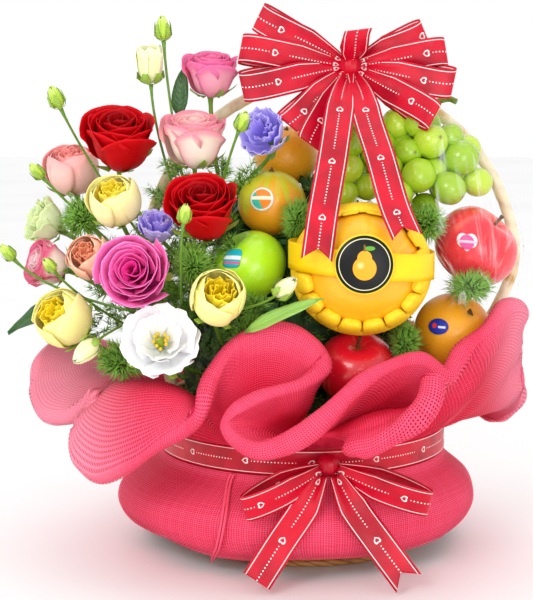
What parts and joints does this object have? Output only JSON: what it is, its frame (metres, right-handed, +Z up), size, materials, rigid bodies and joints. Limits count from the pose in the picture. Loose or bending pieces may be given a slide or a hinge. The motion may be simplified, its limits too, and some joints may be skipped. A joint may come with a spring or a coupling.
{
  "type": "fresh fruit and flower gift basket",
  "caption": "Round handled basket of fresh fruit, grapes and cut flowers, wrapped in ruffled pink mesh and tied with printed red ribbon bows, with clear film over the fruit.",
  "frame": {"origin": "middle of the basket's flat foot, on the surface it stands on", "axes": "+Z up; the front, with the lower bow, faces -Y; +X is to the right seen from the front, where the apples and grapes are; the handle's hoop lies along X"},
  "size_m": [0.4499, 0.4078, 0.4693],
  "materials": {
    "wicker": "stained split willow, satin",
    "cane": "pale peeled cane, satin",
    "pink_mesh": "open plain-woven mesh, coral pink",
    "red_ribbon": "satin ribbon with white edge lines",
    "film": "clear glossy wrapping film",
    "foliage": "dense dark leaves",
    "fern": "fine fern needles",
    "leaf": "waxy leaf",
    "bud_green": "waxy green bud",
    "grape": "translucent green skin with bloom",
    "orange_peel": "pitted peel",
    "mango_skin": "smooth speckled skin",
    "green_apple_skin": "polished skin",
    "red_apple_skin": "polished streaked skin",
    "pear_skin": "smooth dotted skin",
    "yellow_foam": "soft foam",
    "yellow_paper": "glossy paper band",
    "dark_label": "glossy printed label",
    "sticker": "glossy printed sticker",
    "red_petal": "velvety petal",
    "salmon_petal": "soft petal",
    "blush_petal": "soft petal with pink edges",
    "pink_petal": "soft petal",
    "hot_pink_petal": "soft petal",
    "cream_petal": "soft petal",
    "peach_petal": "soft petal",
    "yellow_petal": "soft petal, deeper yellow inside",
    "white_petal": "soft white petal",
    "purple_petal": "thin lilac petal",
    "pale_green_petal": "thin pale petal"
  },
  "bodies": {
    "root": {"basket": "wicker", "handle": "cane", "mesh_wrap": "pink_mesh", "ribbon_band": "red_ribbon", "bow_top": "red_ribbon", "bow_front": "red_ribbon", "film": "film", "foliage": "foliage", "grapes": "grape", "orange_top": "orange_peel", "orange_right": "orange_peel", "mango": "mango_skin", "green_apple": "green_apple_skin", "red_apple_right": "red_apple_skin", "red_apple_front": "red_apple_skin", "golden_pear": "pear_skin", "pear_net": "yellow_foam", "pear_band": "yellow_paper", "pear_label": "dark_label", "sticker_mango": "sticker", "sticker_green_apple": "sticker", "sticker_red_apple": "sticker", "sticker_orange": "sticker", "rose_red_upper": "red_petal", "rose_red_centre": "red_petal", "rose_salmon": "salmon_petal", "rose_blush": "blush_petal", "rose_edged": "blush_petal", "rose_pink_top": "pink_petal", "rose_hot_pink": "hot_pink_petal", "rose_cream": "cream_petal", "rose_peach": "peach_petal", "rose_yellow_left": "yellow_petal", "rose_yellow_right": "yellow_petal", "lisianthus_white": "white_petal", "lisianthus_pale": "pale_green_petal", "lisianthus_purple_top": "purple_petal", "lisianthus_purple_low": "purple_petal", "bud_large": "bud_green", "bud_tall": "bud_green", "bud_left_tall": "bud_green", "bud_left_mid": "bud_green", "bud_left_low": "bud_green", "bud_purple": "bud_green", "bud_red": "bud_green", "bud_lower": "bud_green", "bud_edged": "bud_green", "bud_right": "bud_green", "leaf_left": "leaf", "leaf_top": "leaf", "leaf_right": "leaf", "fern_left": "fern", "fern_middle": "fern", "fern_mango": "fern", "fern_grape": "fern", "fern_apple": "fern", "fern_pear_low": "fern", "fern_below": "fern", "fern_low_left": "fern"}
  },
  "joints": []
}
